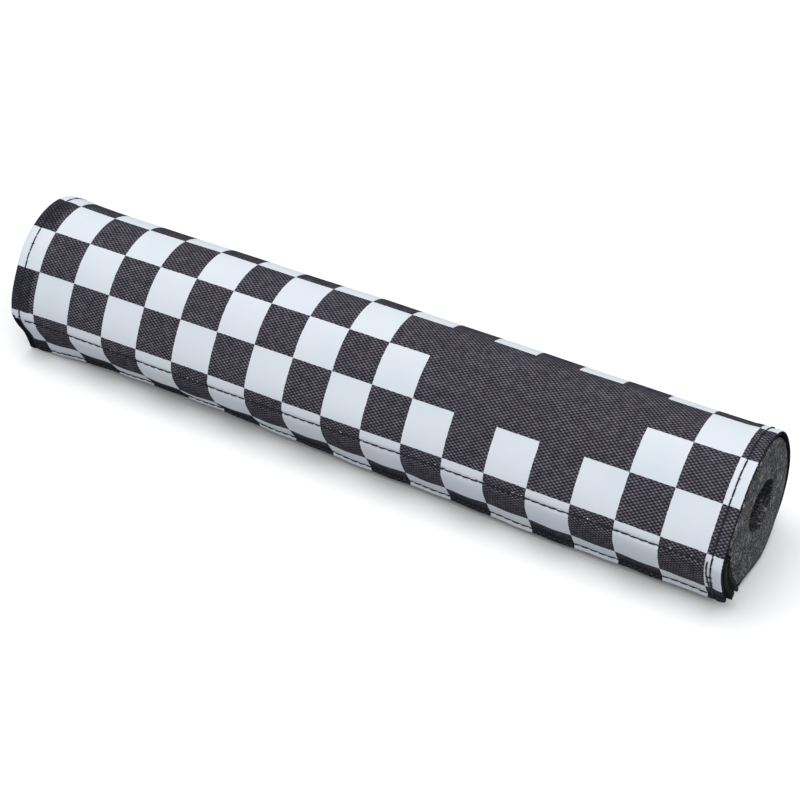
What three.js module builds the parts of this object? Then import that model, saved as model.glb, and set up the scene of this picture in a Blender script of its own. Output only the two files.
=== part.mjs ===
// Crossbar pad for a small bicycle: a slit foam tube in a wrapped cloth cover that closes on itself.
// Lengths are millimetres and angles are degrees. X runs along the pad, +Z is up and -Y is the front.
// The pad lies on its flat underside at Z = 0. Angles turn about the pad's middle, from the front upward.
import * as THREE from "three";

// Driving dimensions: the pad as a whole
const padLength = 250;
const bodyRadius = 23.03;
const restHeight = 21.8;
const gap = 0.3;

// Driving dimensions: how far the body is from round, as slow waves round it
const threeSidedWave = 0.82;
const threeSidedPeak = -37;
const fourSidedWave = 0.37;
const fourSidedPeak = 25.5;

// Driving dimensions: cloth, hems and closure
const clothThickness = 0.8;
const hemWidth = 7.5;
const wrapTwist = 2.7;
const flapEdgeAngle = -46;
const overlapAngle = 41;
const creaseLead = 2.5;
const creaseSoftness = 1.2;
const flapSettleAngle = 40;
const flapFlare = 0.35;
const flapFlareReach = 10;
const flapOpening = 1.2;
const closureSeat = 1.3;
const closureSeatAngle = -32;
const closureSeatReach = 27;
const hookTapeWidth = 18;
const loopTapeWidth = 14.5;
const selvedgeWidth = 2.6;
const selvedgeThickness = 0.4;
const hookThickness = 0.9;
const loopThickness = 1.15;
const tapeMargin = 1.3;
const loopTapeOverhang = 2.6;

// Driving dimensions: printed squares, counted from the left end and from the flap's free edge
const squareSize = 13.85;
const firstColumnShare = 0.673;
const firstRowShare = 0.565;

// Driving dimensions: foam core and bore
const boreWidth = 17.2;
const boreHeight = 14.2;
const boreForward = -1.2;
const boreRise = -0.7;
const slitAngle = -62;
const slitWidth = 0.6;
const foamRecess = 0.4;

// Driving dimensions: sewing
const threadWidth = 0.42;
const stitchRise = 0.3;
const stitchLength = 2.8;
const hemStitchInset = 3.4;
const seamEndInset = 5.4;
const hemRampLength = 2.8;

// Grid fineness: how many steps one printed square and one turn of foam are cut into
const stepsPerSquare = 5;
const foamSteps = 56;

// Sizes worked out from the driving dimensions
const halfLength = padLength / 2;
const hemThickness = 2 * clothThickness;
const closureLift = clothThickness + hookThickness + loopThickness + 3 * gap;
const underEdgeAngle = flapEdgeAngle + 360 + overlapAngle;
const flapLiftEnd = flapEdgeAngle + overlapAngle;
const creaseAngle = flapLiftEnd - creaseLead;
const hemRampStart = halfLength - hemWidth - gap;
const hemClearance = 2 * gap + threadWidth + stitchRise;
const seamReach = halfLength - seamEndInset;
const turn = Math.PI / 180;

const white = new THREE.Color(0xdee4ec);
const black = new THREE.Color(0x2d262a);

function easeStep(from, to, value) {
  const share = Math.min(1, Math.max(0, (value - from) / (to - from)));
  return share * share * (3 - 2 * share);
}

// The cloth is wrapped a little askew. Section angles are counted in its frame, which turns along the pad.
function twistAt(x) {
  return (wrapTwist * x) / halfLength;
}

// Height of the flat underside below the pad's middle. It draws in at the hems, clear of their stitches.
function restHeightAt(x) {
  const share = Math.min(1, Math.max(0, (Math.abs(x) - hemRampStart) / hemRampLength));
  return restHeight - share * hemClearance;
}

// How far the closure has pressed the foam in, as a smooth dip that is deepest at one angle.
function closureSeatAt(angle) {
  const away = Math.abs((((angle - closureSeatAngle + 180) % 360) + 360) % 360 - 180);
  return closureSeat * (1 - easeStep(0, closureSeatReach, away));
}

// Outside of the first cloth layer, flattened where the pad lies on its underside.
function bodyRadiusAt(angle, x) {
  const direction = angle + twistAt(x);
  const threeSided = threeSidedWave * Math.cos(3 * turn * (direction - threeSidedPeak));
  const fourSided = fourSidedWave * Math.cos(4 * turn * (direction - fourSidedPeak));
  const round = bodyRadius + threeSided + fourSided - closureSeatAt(angle);
  const down = -Math.sin(turn * direction);
  const rest = restHeightAt(x);
  return round * down > rest ? rest / down : round;
}

// How far the cover stands off that layer: it climbs to a soft crease where the closure begins, stays up
// over the closure, and opens a little towards the right end.
function flapLiftAt(angle, x) {
  const settle = flapLiftEnd + flapSettleAngle;
  const share = Math.min(1, Math.max(0, (angle - creaseAngle) / (settle - creaseAngle)));
  const opening = (flapOpening * Math.max(0, x)) / halfLength;
  const flare = flapFlare * (1 - easeStep(flapEdgeAngle, flapEdgeAngle + flapFlareReach, angle));
  const fall = (1 - share) * (1 - share) * (1 + creaseSoftness * share);
  return (closureLift + opening) * fall + flare;
}

function coverRadiusAt(angle, x) {
  return bodyRadiusAt(angle, x) + flapLiftAt(angle, x);
}

// The foam fills out under the cover again just past the tucked edge.
function foamRadiusAt(angle, x) {
  const wrapped = ((angle - slitAngle) % 360 + 360) % 360 + slitAngle;
  const bulge = flapLiftAt(wrapped, x) * easeStep(flapLiftEnd + 3, flapLiftEnd + 15, wrapped);
  return bodyRadiusAt(angle, x) + bulge - clothThickness - gap;
}

function sectionPoint(x, angle, radius) {
  const direction = turn * (angle + twistAt(x));
  return { x, y: -radius * Math.cos(direction), z: restHeight + radius * Math.sin(direction) };
}

// Distance along the cover's outside at mid-length, from the flap's free edge, for every quarter degree.
const measureStep = 0.25;

function measureCover() {
  const lengths = [0];
  let last = sectionPoint(0, flapEdgeAngle, coverRadiusAt(flapEdgeAngle, 0));
  for (let angle = flapEdgeAngle + measureStep; angle <= underEdgeAngle; angle += measureStep) {
    const point = sectionPoint(0, angle, coverRadiusAt(angle, 0));
    lengths.push(lengths[lengths.length - 1] + Math.hypot(point.y - last.y, point.z - last.z));
    last = point;
  }
  return lengths;
}

const coverLengths = measureCover();
const coverLength = coverLengths[coverLengths.length - 1];

function coverDistanceAt(angle) {
  return coverLengths[Math.round((angle - flapEdgeAngle) / measureStep)];
}

function coverAngleAt(distance) {
  let index = 1;
  while (index < coverLengths.length - 1 && coverLengths[index] < distance) {
    index += 1;
  }
  const before = coverLengths[index - 1];
  const share = (distance - before) / (coverLengths[index] - before);
  return flapEdgeAngle + (index - 1 + share) * measureStep;
}

// A closed layer over a grid. Each station along X and each strip round the section gives one outer
// and one inner point, and the four rims are closed by strips between them.
function layerBody(stations, strips, pointAt, colourAt) {
  const positions = [];
  const colours = [];
  const corner = (station, strip, side) => {
    const point = pointAt(stations[station], strips[strip], side);
    return [point.x, point.y, point.z];
  };
  const addQuad = (a, b, c, d, colour) => {
    positions.push(...a, ...b, ...c, ...a, ...c, ...d);
    for (let vertex = 0; vertex < 6; vertex += 1) colours.push(colour.r, colour.g, colour.b);
  };
  const lastStation = stations.length - 1;
  const lastStrip = strips.length - 1;
  for (let i = 0; i < lastStation; i += 1) {
    for (let j = 0; j < lastStrip; j += 1) {
      const colour = colourAt(stations[i], stations[i + 1], strips[j], strips[j + 1]);
      addQuad(corner(i, j, 0), corner(i + 1, j, 0), corner(i + 1, j + 1, 0), corner(i, j + 1, 0), colour);
      addQuad(corner(i, j, 1), corner(i, j + 1, 1), corner(i + 1, j + 1, 1), corner(i + 1, j, 1), black);
    }
    addQuad(corner(i, 0, 1), corner(i + 1, 0, 1), corner(i + 1, 0, 0), corner(i, 0, 0), black);
    addQuad(corner(i, lastStrip, 0), corner(i + 1, lastStrip, 0), corner(i + 1, lastStrip, 1),
      corner(i, lastStrip, 1), black);
  }
  for (let j = 0; j < lastStrip; j += 1) {
    addQuad(corner(0, j, 1), corner(0, j, 0), corner(0, j + 1, 0), corner(0, j + 1, 1), black);
    addQuad(corner(lastStation, j, 0), corner(lastStation, j, 1), corner(lastStation, j + 1, 1),
      corner(lastStation, j + 1, 0), black);
  }
  const geometry = new THREE.BufferGeometry();
  geometry.setAttribute("position", new THREE.Float32BufferAttribute(positions, 3));
  geometry.setAttribute("color", new THREE.Float32BufferAttribute(colours, 3));
  geometry.computeVertexNormals();
  return geometry;
}

const allBlack = () => black;

// Cover: stations hold the hems, which are folded in to twice the cloth's thickness.
function coverStations() {
  const foldSteps = [[0, 0.62], [0.35, 0.2], [1.1, 0]];
  const stations = [];
  foldSteps.forEach(([inset, share]) => {
    const foldInset = share * clothThickness;
    stations.push({ x: inset - halfLength, inset: foldInset, thickness: hemThickness - foldInset });
    stations.push({ x: halfLength - inset, inset: foldInset, thickness: hemThickness - foldInset });
  });
  [-1, 1].forEach((end) => {
    stations.push({ x: end * (hemRampStart + hemRampLength), inset: 0, thickness: hemThickness });
    stations.push({ x: end * (hemRampStart + gap), inset: 0, thickness: hemThickness });
    stations.push({ x: end * hemRampStart, inset: 0, thickness: clothThickness });
  });
  const lastColumn = Math.floor(padLength / squareSize - firstColumnShare);
  for (let column = 0; column <= lastColumn; column += 1) {
    const x = (firstColumnShare + column) * squareSize - halfLength;
    const inHem = Math.abs(x) > hemRampStart;
    const apart = stations.every((other) => Math.abs(other.x - x) > gap / 2);
    if (apart && Math.abs(x) < halfLength) {
      stations.push({ x, inset: 0, thickness: inHem ? hemThickness : clothThickness });
    }
  }
  return stations.sort((a, b) => a.x - b.x);
}

// Strips follow the printed rows, with a narrow one at each long edge to round it off.
function coverStrips() {
  const edgeStep = 0.5;
  const distances = [0, edgeStep, coverLength - edgeStep, coverLength];
  const step = squareSize / stepsPerSquare;
  const firstStep = (firstRowShare * stepsPerSquare) % 1;
  for (let distance = firstStep * step; distance < coverLength; distance += step) {
    if (distances.every((other) => Math.abs(other - distance) > edgeStep / 2)) {
      distances.push(distance);
    }
  }
  distances.sort((a, b) => a - b);
  return distances.map((distance, index) => {
    const atEdge = index === 0 || index === distances.length - 1;
    return { distance, angle: coverAngleAt(distance), trim: atEdge ? 0.28 * clothThickness : 0 };
  });
}

function coverPoint(station, strip, side) {
  const surface = coverRadiusAt(strip.angle, station.x);
  const outer = surface - station.inset - strip.trim;
  const inner = surface - station.thickness + strip.trim;
  return sectionPoint(station.x, strip.angle, side === 0 ? outer : inner);
}

// Every second square is white. The bare name place keeps its five extra black squares.
function squareColour(leftStation, rightStation, lowStrip, highStrip) {
  const middleX = (leftStation.x + rightStation.x) / 2;
  const middleDistance = (lowStrip.distance + highStrip.distance) / 2;
  const column = Math.floor((middleX + halfLength) / squareSize - firstColumnShare);
  const row = Math.floor(middleDistance / squareSize - firstRowShare);
  const regularWhite = Math.abs(column + row) % 2 === 1;
  const inNamePlace = (row === 2 || row === 3) && column >= 10 && column <= 14;
  return regularWhite && !inNamePlace ? white : black;
}

// Tapes: a thick band of hooks or loops between two thin sewn edges.
function tapeStrips(start, width) {
  const distances = [0, selvedgeWidth, selvedgeWidth + gap];
  const bandEnd = width - selvedgeWidth;
  for (let step = 1; step < 5; step += 1) {
    distances.push(selvedgeWidth + gap + (step / 5) * (bandEnd - selvedgeWidth - 2 * gap));
  }
  distances.push(bandEnd - gap, bandEnd, width);
  return distances.map((distance) => {
    const inBand = distance > selvedgeWidth && distance < bandEnd;
    return { angle: coverAngleAt(start + distance), inBand };
  });
}

function tapeStations(leftEnd, rightEnd) {
  const stations = [];
  for (let step = 0; step <= 4; step += 1) stations.push({ x: leftEnd + (step / 4) * (rightEnd - leftEnd) });
  return stations;
}

function hookPoint(station, strip, side) {
  const outer = coverRadiusAt(strip.angle, station.x) - clothThickness - gap;
  const inner = outer - (strip.inBand ? hookThickness : selvedgeThickness);
  return sectionPoint(station.x, strip.angle, side === 0 ? outer : inner);
}

function loopPoint(station, strip, side) {
  const inner = bodyRadiusAt(strip.angle, station.x) + gap;
  const outer = inner + (strip.inBand ? loopThickness : selvedgeThickness);
  return sectionPoint(station.x, strip.angle, side === 0 ? outer : inner);
}

// Foam core: strips pair a point of the outside with one of the bore, from one slit wall to the other.
function foamStrips() {
  const outerSlit = Math.asin(slitWidth / 2 / foamRadiusAt(slitAngle, 0)) / turn;
  const boreSlit = Math.asin(slitWidth / boreWidth) / turn;
  const strips = [];
  for (let step = 0; step <= foamSteps; step += 1) {
    const share = step / foamSteps;
    strips.push({
      angle: slitAngle + outerSlit + share * (360 - 2 * outerSlit),
      boreAngle: slitAngle + boreSlit + share * (360 - 2 * boreSlit),
    });
  }
  return strips;
}

function foamStations() {
  const shoulder = hemRampStart - gap;
  const rightHalf = [
    { x: shoulder - 1, squeeze: 0 },
    { x: shoulder, squeeze: clothThickness },
    { x: hemRampStart + hemRampLength, squeeze: clothThickness },
    { x: halfLength - foamRecess, squeeze: clothThickness },
  ];
  const leftHalf = rightHalf.map((station) => ({ x: -station.x, squeeze: station.squeeze }));
  return [...leftHalf.reverse(), { x: 0, squeeze: 0 }, ...rightHalf];
}

function foamPoint(station, strip, side) {
  if (side === 0) {
    const angle = strip.angle - twistAt(station.x);
    return sectionPoint(station.x, angle, foamRadiusAt(angle, station.x) - station.squeeze);
  }
  const y = -boreForward - (boreWidth / 2) * Math.cos(turn * strip.boreAngle);
  const z = restHeight + boreRise + (boreHeight / 2) * Math.sin(turn * strip.boreAngle);
  return { x: station.x, y, z };
}

// Thread: a square cord that rises over each stitch and dips to the cloth between stitches.
function threadBody(stitchCount, placeAt) {
  const dips = [[0, 0], [0.5, 1]];
  const rings = [];
  for (let stitch = 0; stitch < stitchCount; stitch += 1) {
    dips.forEach(([share, rise]) => rings.push(placeAt((stitch + share) / stitchCount, rise)));
  }
  rings.push(placeAt(1, 0));
  const geometry = new THREE.BufferGeometry();
  const indices = [];
  const sides = 4;
  for (let ring = 0; ring < rings.length - 1; ring += 1) {
    for (let side = 0; side < sides; side += 1) {
      const a = ring * sides + side;
      const b = ring * sides + ((side + 1) % sides);
      indices.push(a, b + sides, b, a, a + sides, b + sides);
    }
  }
  const last = (rings.length - 1) * sides;
  indices.push(0, 1, 2, 0, 2, 3, last, last + 2, last + 1, last, last + 3, last + 2);
  geometry.setAttribute("position", new THREE.Float32BufferAttribute(rings.flat(2), 3));
  geometry.setIndex(indices);
  geometry.computeVertexNormals();
  return geometry;
}

// A cross-section of thread that runs round the pad at one place along X.
function roundRing(x, angle, radius) {
  const half = threadWidth / 2;
  const inner = sectionPoint(x, angle, radius);
  const outer = sectionPoint(x, angle, radius + threadWidth);
  return [
    [x - half, inner.y, inner.z],
    [x + half, inner.y, inner.z],
    [x + half, outer.y, outer.z],
    [x - half, outer.y, outer.z],
  ];
}

// A cross-section of thread that runs along the pad at one angle of the section.
function lengthRing(x, angle, radius) {
  const halfAngle = threadWidth / 2 / radius / turn;
  const corners = [
    sectionPoint(x, angle + halfAngle, radius),
    sectionPoint(x, angle - halfAngle, radius),
    sectionPoint(x, angle - halfAngle, radius + threadWidth),
    sectionPoint(x, angle + halfAngle, radius + threadWidth),
  ];
  return corners.map((point) => [point.x, point.y, point.z]);
}

// The hem's seam runs from the free edge round to where the flap covers the cloth again.
function hemStitch(end) {
  const start = tapeMargin;
  const finish = coverDistanceAt(flapEdgeAngle + 360) - tapeMargin;
  const count = Math.round((finish - start) / stitchLength);
  const x = end * (halfLength - hemStitchInset);
  return threadBody(count, (share, rise) => {
    const angle = coverAngleAt(start + share * (finish - start));
    return roundRing(x, angle, coverRadiusAt(angle, x) + gap + rise * stitchRise);
  });
}

// A seam along the closure, at a distance from the flap's free edge.
function closureStitch(distance, stitchCount, surfaceAt, riseHeight) {
  const angle = coverAngleAt(distance);
  return threadBody(stitchCount, (share, rise) => {
    const x = (2 * share - 1) * seamReach;
    return lengthRing(x, angle, surfaceAt(angle, x) + gap + rise * riseHeight);
  });
}

function addPiece(group, name, geometry, look) {
  const piece = new THREE.Mesh(geometry, new THREE.MeshStandardMaterial(look));
  piece.name = name;
  group.add(piece);
}

function buildPad() {
  const pad = new THREE.Group();
  pad.name = "crossbar_pad";
  const clothLook = { vertexColors: true, roughness: 0.75 };
  const foamLook = { color: 0x464648, roughness: 0.95 };
  const tapeLook = { color: 0x1d1d20, roughness: 0.9 };
  const threadLook = { color: 0x232832, roughness: 0.6 };
  addPiece(pad, "cover", layerBody(coverStations(), coverStrips(), coverPoint, squareColour), clothLook);
  addPiece(pad, "foam_core", layerBody(foamStations(), foamStrips(), foamPoint, allBlack), foamLook);

  const hookReach = halfLength - hemWidth - 1;
  const loopStart = coverLength - tapeMargin - loopTapeWidth;
  const hookStations = tapeStations(-hookReach, hookReach);
  const loopStations = tapeStations(-halfLength + 1, halfLength + loopTapeOverhang);
  const hookStrips = tapeStrips(tapeMargin, hookTapeWidth);
  const loopStrips = tapeStrips(loopStart, loopTapeWidth);
  addPiece(pad, "hook_tape", layerBody(hookStations, hookStrips, hookPoint, allBlack), tapeLook);
  addPiece(pad, "loop_tape", layerBody(loopStations, loopStrips, loopPoint, allBlack), tapeLook);

  addPiece(pad, "hem_stitch_left", hemStitch(-1), threadLook);
  addPiece(pad, "hem_stitch_right", hemStitch(1), threadLook);
  const sewnEdge = selvedgeWidth / 2;
  const outerStitches = Math.round((2 * seamReach) / stitchLength);
  const onLoopTape = (angle, x) => bodyRadiusAt(angle, x) + gap + selvedgeThickness;
  const seams = [
    ["hook_stitch_lower", tapeMargin + sewnEdge, outerStitches, coverRadiusAt, stitchRise],
    ["hook_stitch_upper", tapeMargin + hookTapeWidth - sewnEdge, outerStitches, coverRadiusAt, stitchRise],
    ["loop_stitch_lower", loopStart + sewnEdge, 1, onLoopTape, 0],
    ["loop_stitch_upper", loopStart + loopTapeWidth - sewnEdge, 1, onLoopTape, 0],
  ];
  seams.forEach(([name, distance, stitchCount, surfaceAt, riseHeight]) => {
    addPiece(pad, name, closureStitch(distance, stitchCount, surfaceAt, riseHeight), threadLook);
  });
  return pad;
}

export default buildPad();
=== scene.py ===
import math

import bpy
import numpy as np
from mathutils import Matrix


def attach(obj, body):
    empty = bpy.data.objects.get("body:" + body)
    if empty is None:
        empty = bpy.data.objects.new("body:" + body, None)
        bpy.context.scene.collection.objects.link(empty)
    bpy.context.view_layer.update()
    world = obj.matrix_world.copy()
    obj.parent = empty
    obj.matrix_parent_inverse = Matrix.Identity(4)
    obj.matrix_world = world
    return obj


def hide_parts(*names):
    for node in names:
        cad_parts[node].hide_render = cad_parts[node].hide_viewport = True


# A crossbar pad: slit foam in a wrapped, hemmed and printed cloth cover that closes on itself.
# Metres. X runs along the pad, -Y is the front, +Z is up, and the pad lies on its underside at Z = 0.
# Section angles are degrees about the pad's middle, from the front upward.
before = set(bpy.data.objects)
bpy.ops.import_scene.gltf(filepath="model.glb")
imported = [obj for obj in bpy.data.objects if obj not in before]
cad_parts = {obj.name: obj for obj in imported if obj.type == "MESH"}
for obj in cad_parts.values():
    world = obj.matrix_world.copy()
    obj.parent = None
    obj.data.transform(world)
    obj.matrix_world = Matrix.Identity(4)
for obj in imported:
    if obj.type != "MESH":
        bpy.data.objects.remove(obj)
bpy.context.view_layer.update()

MM = 0.001

# The pad as a whole
PAD_LENGTH = 250 * MM
BODY_RADIUS = 23.03 * MM
REST_HEIGHT = 21.8 * MM
THREE_SIDED_WAVE = 0.82 * MM
THREE_SIDED_PEAK = -37
FOUR_SIDED_WAVE = 0.37 * MM
FOUR_SIDED_PEAK = 25.5

# Cloth, hems and closure
CLOTH = 0.8 * MM
HEM_WIDTH = 7.5 * MM
HEM_RAMP = 2.8 * MM
HEM_DRAW = 1.32 * MM
RIGHT_HEM_DRAW = 0.5 * MM
WRAP_TWIST = 2.7
FLAP_EDGE = -46
OVERLAP = 41
CREASE_LEAD = 2.5
CREASE_SOFTNESS = 1.2
FLAP_SETTLE = 40
FLAP_FLARE = 0.35 * MM
FLAP_FLARE_REACH = 10
FLAP_OPENING = 1.2 * MM
SEAT_DEPTH = 1.3 * MM
SEAT_ANGLE = -32
SEAT_REACH = 27
PINCH_DEPTH = 0.9 * MM
PINCH_ANGLE = 202
PINCH_REACH = 48
PINCH_LENGTH = 22 * MM
GAP = 0.3 * MM
HOOK_TAPE_WIDTH = 18 * MM
LOOP_TAPE_WIDTH = 14.5 * MM
HOOK_THICKNESS = 0.9 * MM
LOOP_THICKNESS = 1.15 * MM
SELVEDGE_WIDTH = 2.6 * MM
SELVEDGE_THICKNESS = 0.4 * MM
TAPE_MARGIN = 1.3 * MM
CLOSURE_LIFT = CLOTH + HOOK_THICKNESS + LOOP_THICKNESS + 3 * GAP

# Right ends of the tapes: how far they pass the rim, and how much farther low down
TAPE_CLEARANCE = 1 * MM
HOOK_END = 0.3 * MM
HOOK_END_LOW = 1.1 * MM
HOOK_LOW_REACH = 8 * MM
HOOK_END_DROP = 1.1 * MM
LOOP_END = 0.5 * MM
LOOP_END_LOW = 2.1 * MM
LOOP_LOW_PLACE = 2.6 * MM
LOOP_LOW_REACH = 4 * MM
LOOP_DROOP = 0.7 * MM

# Depths and heights of the cloth's small forms
SEAM_DIP_WIDTH = 0.7 * MM
HEM_SEAM_DEPTH = 0.3 * MM
LOWER_SEAM_DEPTH = 0.26 * MM
UPPER_SEAM_DEPTH = 0.4 * MM
HEM_RIDGE = 0.2 * MM
SLACK_HEIGHT = 0.09 * MM
CROWN_HEIGHT = 0.14 * MM
ROLL_HEIGHT = 0.06 * MM
SWELL_HEIGHT = 0.5 * MM
SINK_DEPTH = 0.7 * MM
EDGE_DROP = 0.45 * MM
EDGE_FLARE = 0.6 * MM
EDGE_FLARE_REACH = 2 * MM

# Bells of the flap's free edge: height, place along the pad and width, in mm
EDGE_BELLS = ((1.9, -125, 22), (-0.9, -56, 24), (0.5, 10, 18), (0.6, 64, 22), (-0.3, 118, 9))

# Print
SQUARE = 13.85 * MM
FIRST_COLUMN = 0.673
FIRST_ROW = 0.565
EDGE_STRAY = 0.35 * MM
FLAP_SWAY = 0.35 * MM
SAG_LENGTH = 60 * MM
SAG_WIDTH = 38 * MM
SAG_DEPTH = 2.9 * MM
SAG_POWER = 1.5
BARE_RIM = 3.1 * MM
BARE_RIM_FADE = (16 * MM, 19 * MM)

# Bands of the print, each as its middle and its reach to either side
BARE_COLUMNS = (14.0, 2.1)
BARE_ROWS = (4.5, 0.6)
FOLD_SPECKS = (36 * MM, 15 * MM)
# Not print: the band of painted highlights just above the upper seam
SEAM_HIGHLIGHT_BAND = (0.5 * MM, 0.25 * MM)

# Foam and bore
BORE_WIDTH = 17.2 * MM
BORE_HEIGHT = 14.2 * MM
BORE_BACK = 1.2 * MM
BORE_RISE = -0.7 * MM
SLIT_ANGLE = -62
SLIT_WIDTH = 0.6 * MM
FOAM_RECESS = 0.2 * MM
FILL_START = 3
FILL_END = 15
PROUD = 0.9 * MM
PROUD_ANGLE = -100
PROUD_REACH = 42
MOUTH_LENGTH = 14 * MM
MOUTH_FORWARD = 0.9 * MM
MOUTH_RISE = 2.2 * MM
LIT_SHARE = 0.92
LIT_ANGLE = 236
LIT_REACH = 42
LIT_LENGTH = 9 * MM
RIM_ANGLE = 25
RIM_REACH = 45

# Weave and colours
WEAVE_ALONG = 0.853 * MM
WEAVE_AROUND = 0.531 * MM
WEAVE_SKEW = 0.151
HEM_SHADE = 0.5
# Painted shade: how far the black darkens along the top and near the flap's free edge
TOP_PAINTED_SHADE = 0.5
EDGE_PAINTED_SHADE = 0.55
TOP_FROM = (58 * MM, 74 * MM)
EDGE_TO = (3 * MM, 8 * MM)
SHADED_BLACK = (0.008, 0.01, 0.015)
# Painted shade: near-black for the unprinted cloth at the inside, the folds and the bare left rim
FOLD_SHADE_BLACK = (0.004, 0.004, 0.006)
# Painted shade in the weave's hollows of the white ink
INK_HOLLOW_SHADE = (0.45, 0.48, 0.54)
# Painted highlight colour of the specks above the upper seam
SEAM_HIGHLIGHT = (0.9, 0.92, 0.95)
# Painted shade inside the bore
BORE_SHADE = (0.01, 0.01, 0.011)
CRUMB_GREY = (0.3, 0.31, 0.32)
FLOOR_BOUNCE = (0.47, 0.475, 0.49)
# The black's top stop is a painted sheen on the weave's float crowns
BLACK_SHEEN_STOPS = [(0.05, (0.009, 0.008, 0.011)), (0.5, (0.039, 0.036, 0.046)), (0.95, (0.2, 0.187, 0.232))]
INK_STOPS = [(0.3, (0.64, 0.7, 0.755)), (0.5, (0.675, 0.715, 0.77)), (0.7, (0.67, 0.69, 0.785))]
FOAM_STOPS = [(0.38, (0.008, 0.008, 0.009)), (0.5, (0.042, 0.042, 0.046)), (0.61, (0.27, 0.27, 0.285))]
TAPE_STOPS = [(0.35, (0.004, 0.0045, 0.006)), (0.65, (0.036, 0.038, 0.043))]
THREAD_STOPS = [(0.2, (0.004, 0.005, 0.009)), (0.8, (0.019, 0.023, 0.034))]

# Sewing
THREAD = 0.48 * MM
STITCH = 2.8 * MM
HEM_SEAM = 3.4 * MM
SEAM_END = 5.4 * MM
SEAM_SLANT = 0.0094
SEAM_SINK = 0.2 * MM
EDGE_SEAM_SHIFT = 0.8 * MM
ARCH_HEIGHT = 0.36 * THREAD
ARCH_DIP = 0.16 * THREAD
THREAD_FLATNESS = 0.8
GOLDEN_ANGLE = 2.39996
TUBE_SIDES = 8

# Floor
FLOOR_REACH = 6.0
FLOOR_DROP = 0.2 * MM

# Camera, found by fitting the print's corners and the rims
LENS = 84.1
CAMERA_PLACE = (0.24136, -0.39894, 0.35968)
CAMERA_AZIMUTH = 30.387
CAMERA_ELEVATION = 36.637
CAMERA_ROLL = 0.087

HALF = PAD_LENGTH / 2
HEM_START = HALF - HEM_WIDTH - GAP
UNDER_EDGE = FLAP_EDGE + 360 + OVERLAP
LIFT_END = FLAP_EDGE + OVERLAP
CREASE = LIFT_END - CREASE_LEAD
LOWER_SEAM = TAPE_MARGIN + SELVEDGE_WIDTH / 2
UPPER_SEAM = TAPE_MARGIN + HOOK_TAPE_WIDTH - SELVEDGE_WIDTH / 2


# Shape of the section. Angles are counted in the cloth's frame, which turns a little along the pad.

def ease(start, end, value):
    """Smooth step: 0 before start, 1 after end, with level tangents at both."""
    share = np.clip((value - start) / (end - start), 0, 1)
    return share * share * (3 - 2 * share)


def twist(x):
    """How far the cloth is turned round the pad at x, in degrees."""
    return WRAP_TWIST * x / HALF


def rest_height(x):
    """The flat underside's depth below the middle, drawn in by a straight ramp at both hems."""
    draw = np.where(x > 0, RIGHT_HEM_DRAW, HEM_DRAW)
    return REST_HEIGHT - draw * np.clip((np.abs(x) - HEM_START) / HEM_RAMP, 0, 1)


def body_radius(angle, x):
    """Mean radius with a three-sided and a four-sided cosine wave, less the dip that the closure
    presses in, and cut off level at the rest height."""
    turned = np.radians(angle + twist(x))
    wave = THREE_SIDED_WAVE * np.cos(3 * (turned - math.radians(THREE_SIDED_PEAK)))
    wave = wave + FOUR_SIDED_WAVE * np.cos(4 * (turned - math.radians(FOUR_SIDED_PEAK)))
    away = np.abs(np.mod(angle - SEAT_ANGLE + 180, 360) - 180)
    seat = SEAT_DEPTH * (1 - ease(0, SEAT_REACH, away))
    back = np.abs(np.mod(angle - PINCH_ANGLE + 180, 360) - 180)
    seat = seat + PINCH_DEPTH * (1 - ease(0, PINCH_REACH, back)) * ease(HALF - PINCH_LENGTH, HALF, x)
    down = np.maximum(-np.sin(turned), 1e-6)
    return np.minimum(BODY_RADIUS + wave - seat, rest_height(x) / down)


def flap_lift(angle, x):
    """Closure stack, falling from a soft crease to nothing and opening towards the right end, plus
    the free edge's small flare."""
    share = np.clip((angle - CREASE) / (LIFT_END + FLAP_SETTLE - CREASE), 0, 1)
    fall = (1 - share) ** 2 * (1 + CREASE_SOFTNESS * share)
    opening = FLAP_OPENING * np.maximum(x, 0) / HALF
    flare = FLAP_FLARE * (1 - ease(FLAP_EDGE, FLAP_EDGE + FLAP_FLARE_REACH, angle))
    return (CLOSURE_LIFT + opening) * fall + flare


def cover_radius(angle, x):
    """The outside of the plain cloth: body radius plus the flap's lift."""
    return body_radius(angle, x) + flap_lift(angle, x)


def foam_radius(angle, x):
    """Body radius less the cloth, filling out under the cover just past the tucked edge."""
    wrapped = np.mod(angle - SLIT_ANGLE, 360) + SLIT_ANGLE
    bulge = flap_lift(wrapped, x) * ease(LIFT_END + FILL_START, LIFT_END + FILL_END, wrapped)
    return body_radius(angle, x) + bulge - CLOTH - GAP


def section_yz(x, angle, radius):
    """Y and Z of a point given by its cloth angle and its radius."""
    turned = np.radians(angle + twist(x))
    return -radius * np.cos(turned), REST_HEIGHT + radius * np.sin(turned)


MEASURE_ANGLES = np.arange(FLAP_EDGE, UNDER_EDGE + 0.01, 0.25)
MEASURE_Y, MEASURE_Z = section_yz(0.0, MEASURE_ANGLES, cover_radius(MEASURE_ANGLES, 0.0))
MEASURE_STEPS = np.hypot(np.diff(MEASURE_Y), np.diff(MEASURE_Z))
MEASURE_LENGTHS = np.concatenate([[0.0], np.cumsum(MEASURE_STEPS)])
COVER_LENGTH = float(MEASURE_LENGTHS[-1])
COVERED_FROM = float(np.interp(FLAP_EDGE + 360, MEASURE_ANGLES, MEASURE_LENGTHS))
LOOP_UPPER_SEAM = COVER_LENGTH - TAPE_MARGIN - SELVEDGE_WIDTH / 2
LOOP_LOWER_SEAM = LOOP_UPPER_SEAM - LOOP_TAPE_WIDTH + SELVEDGE_WIDTH


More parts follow.
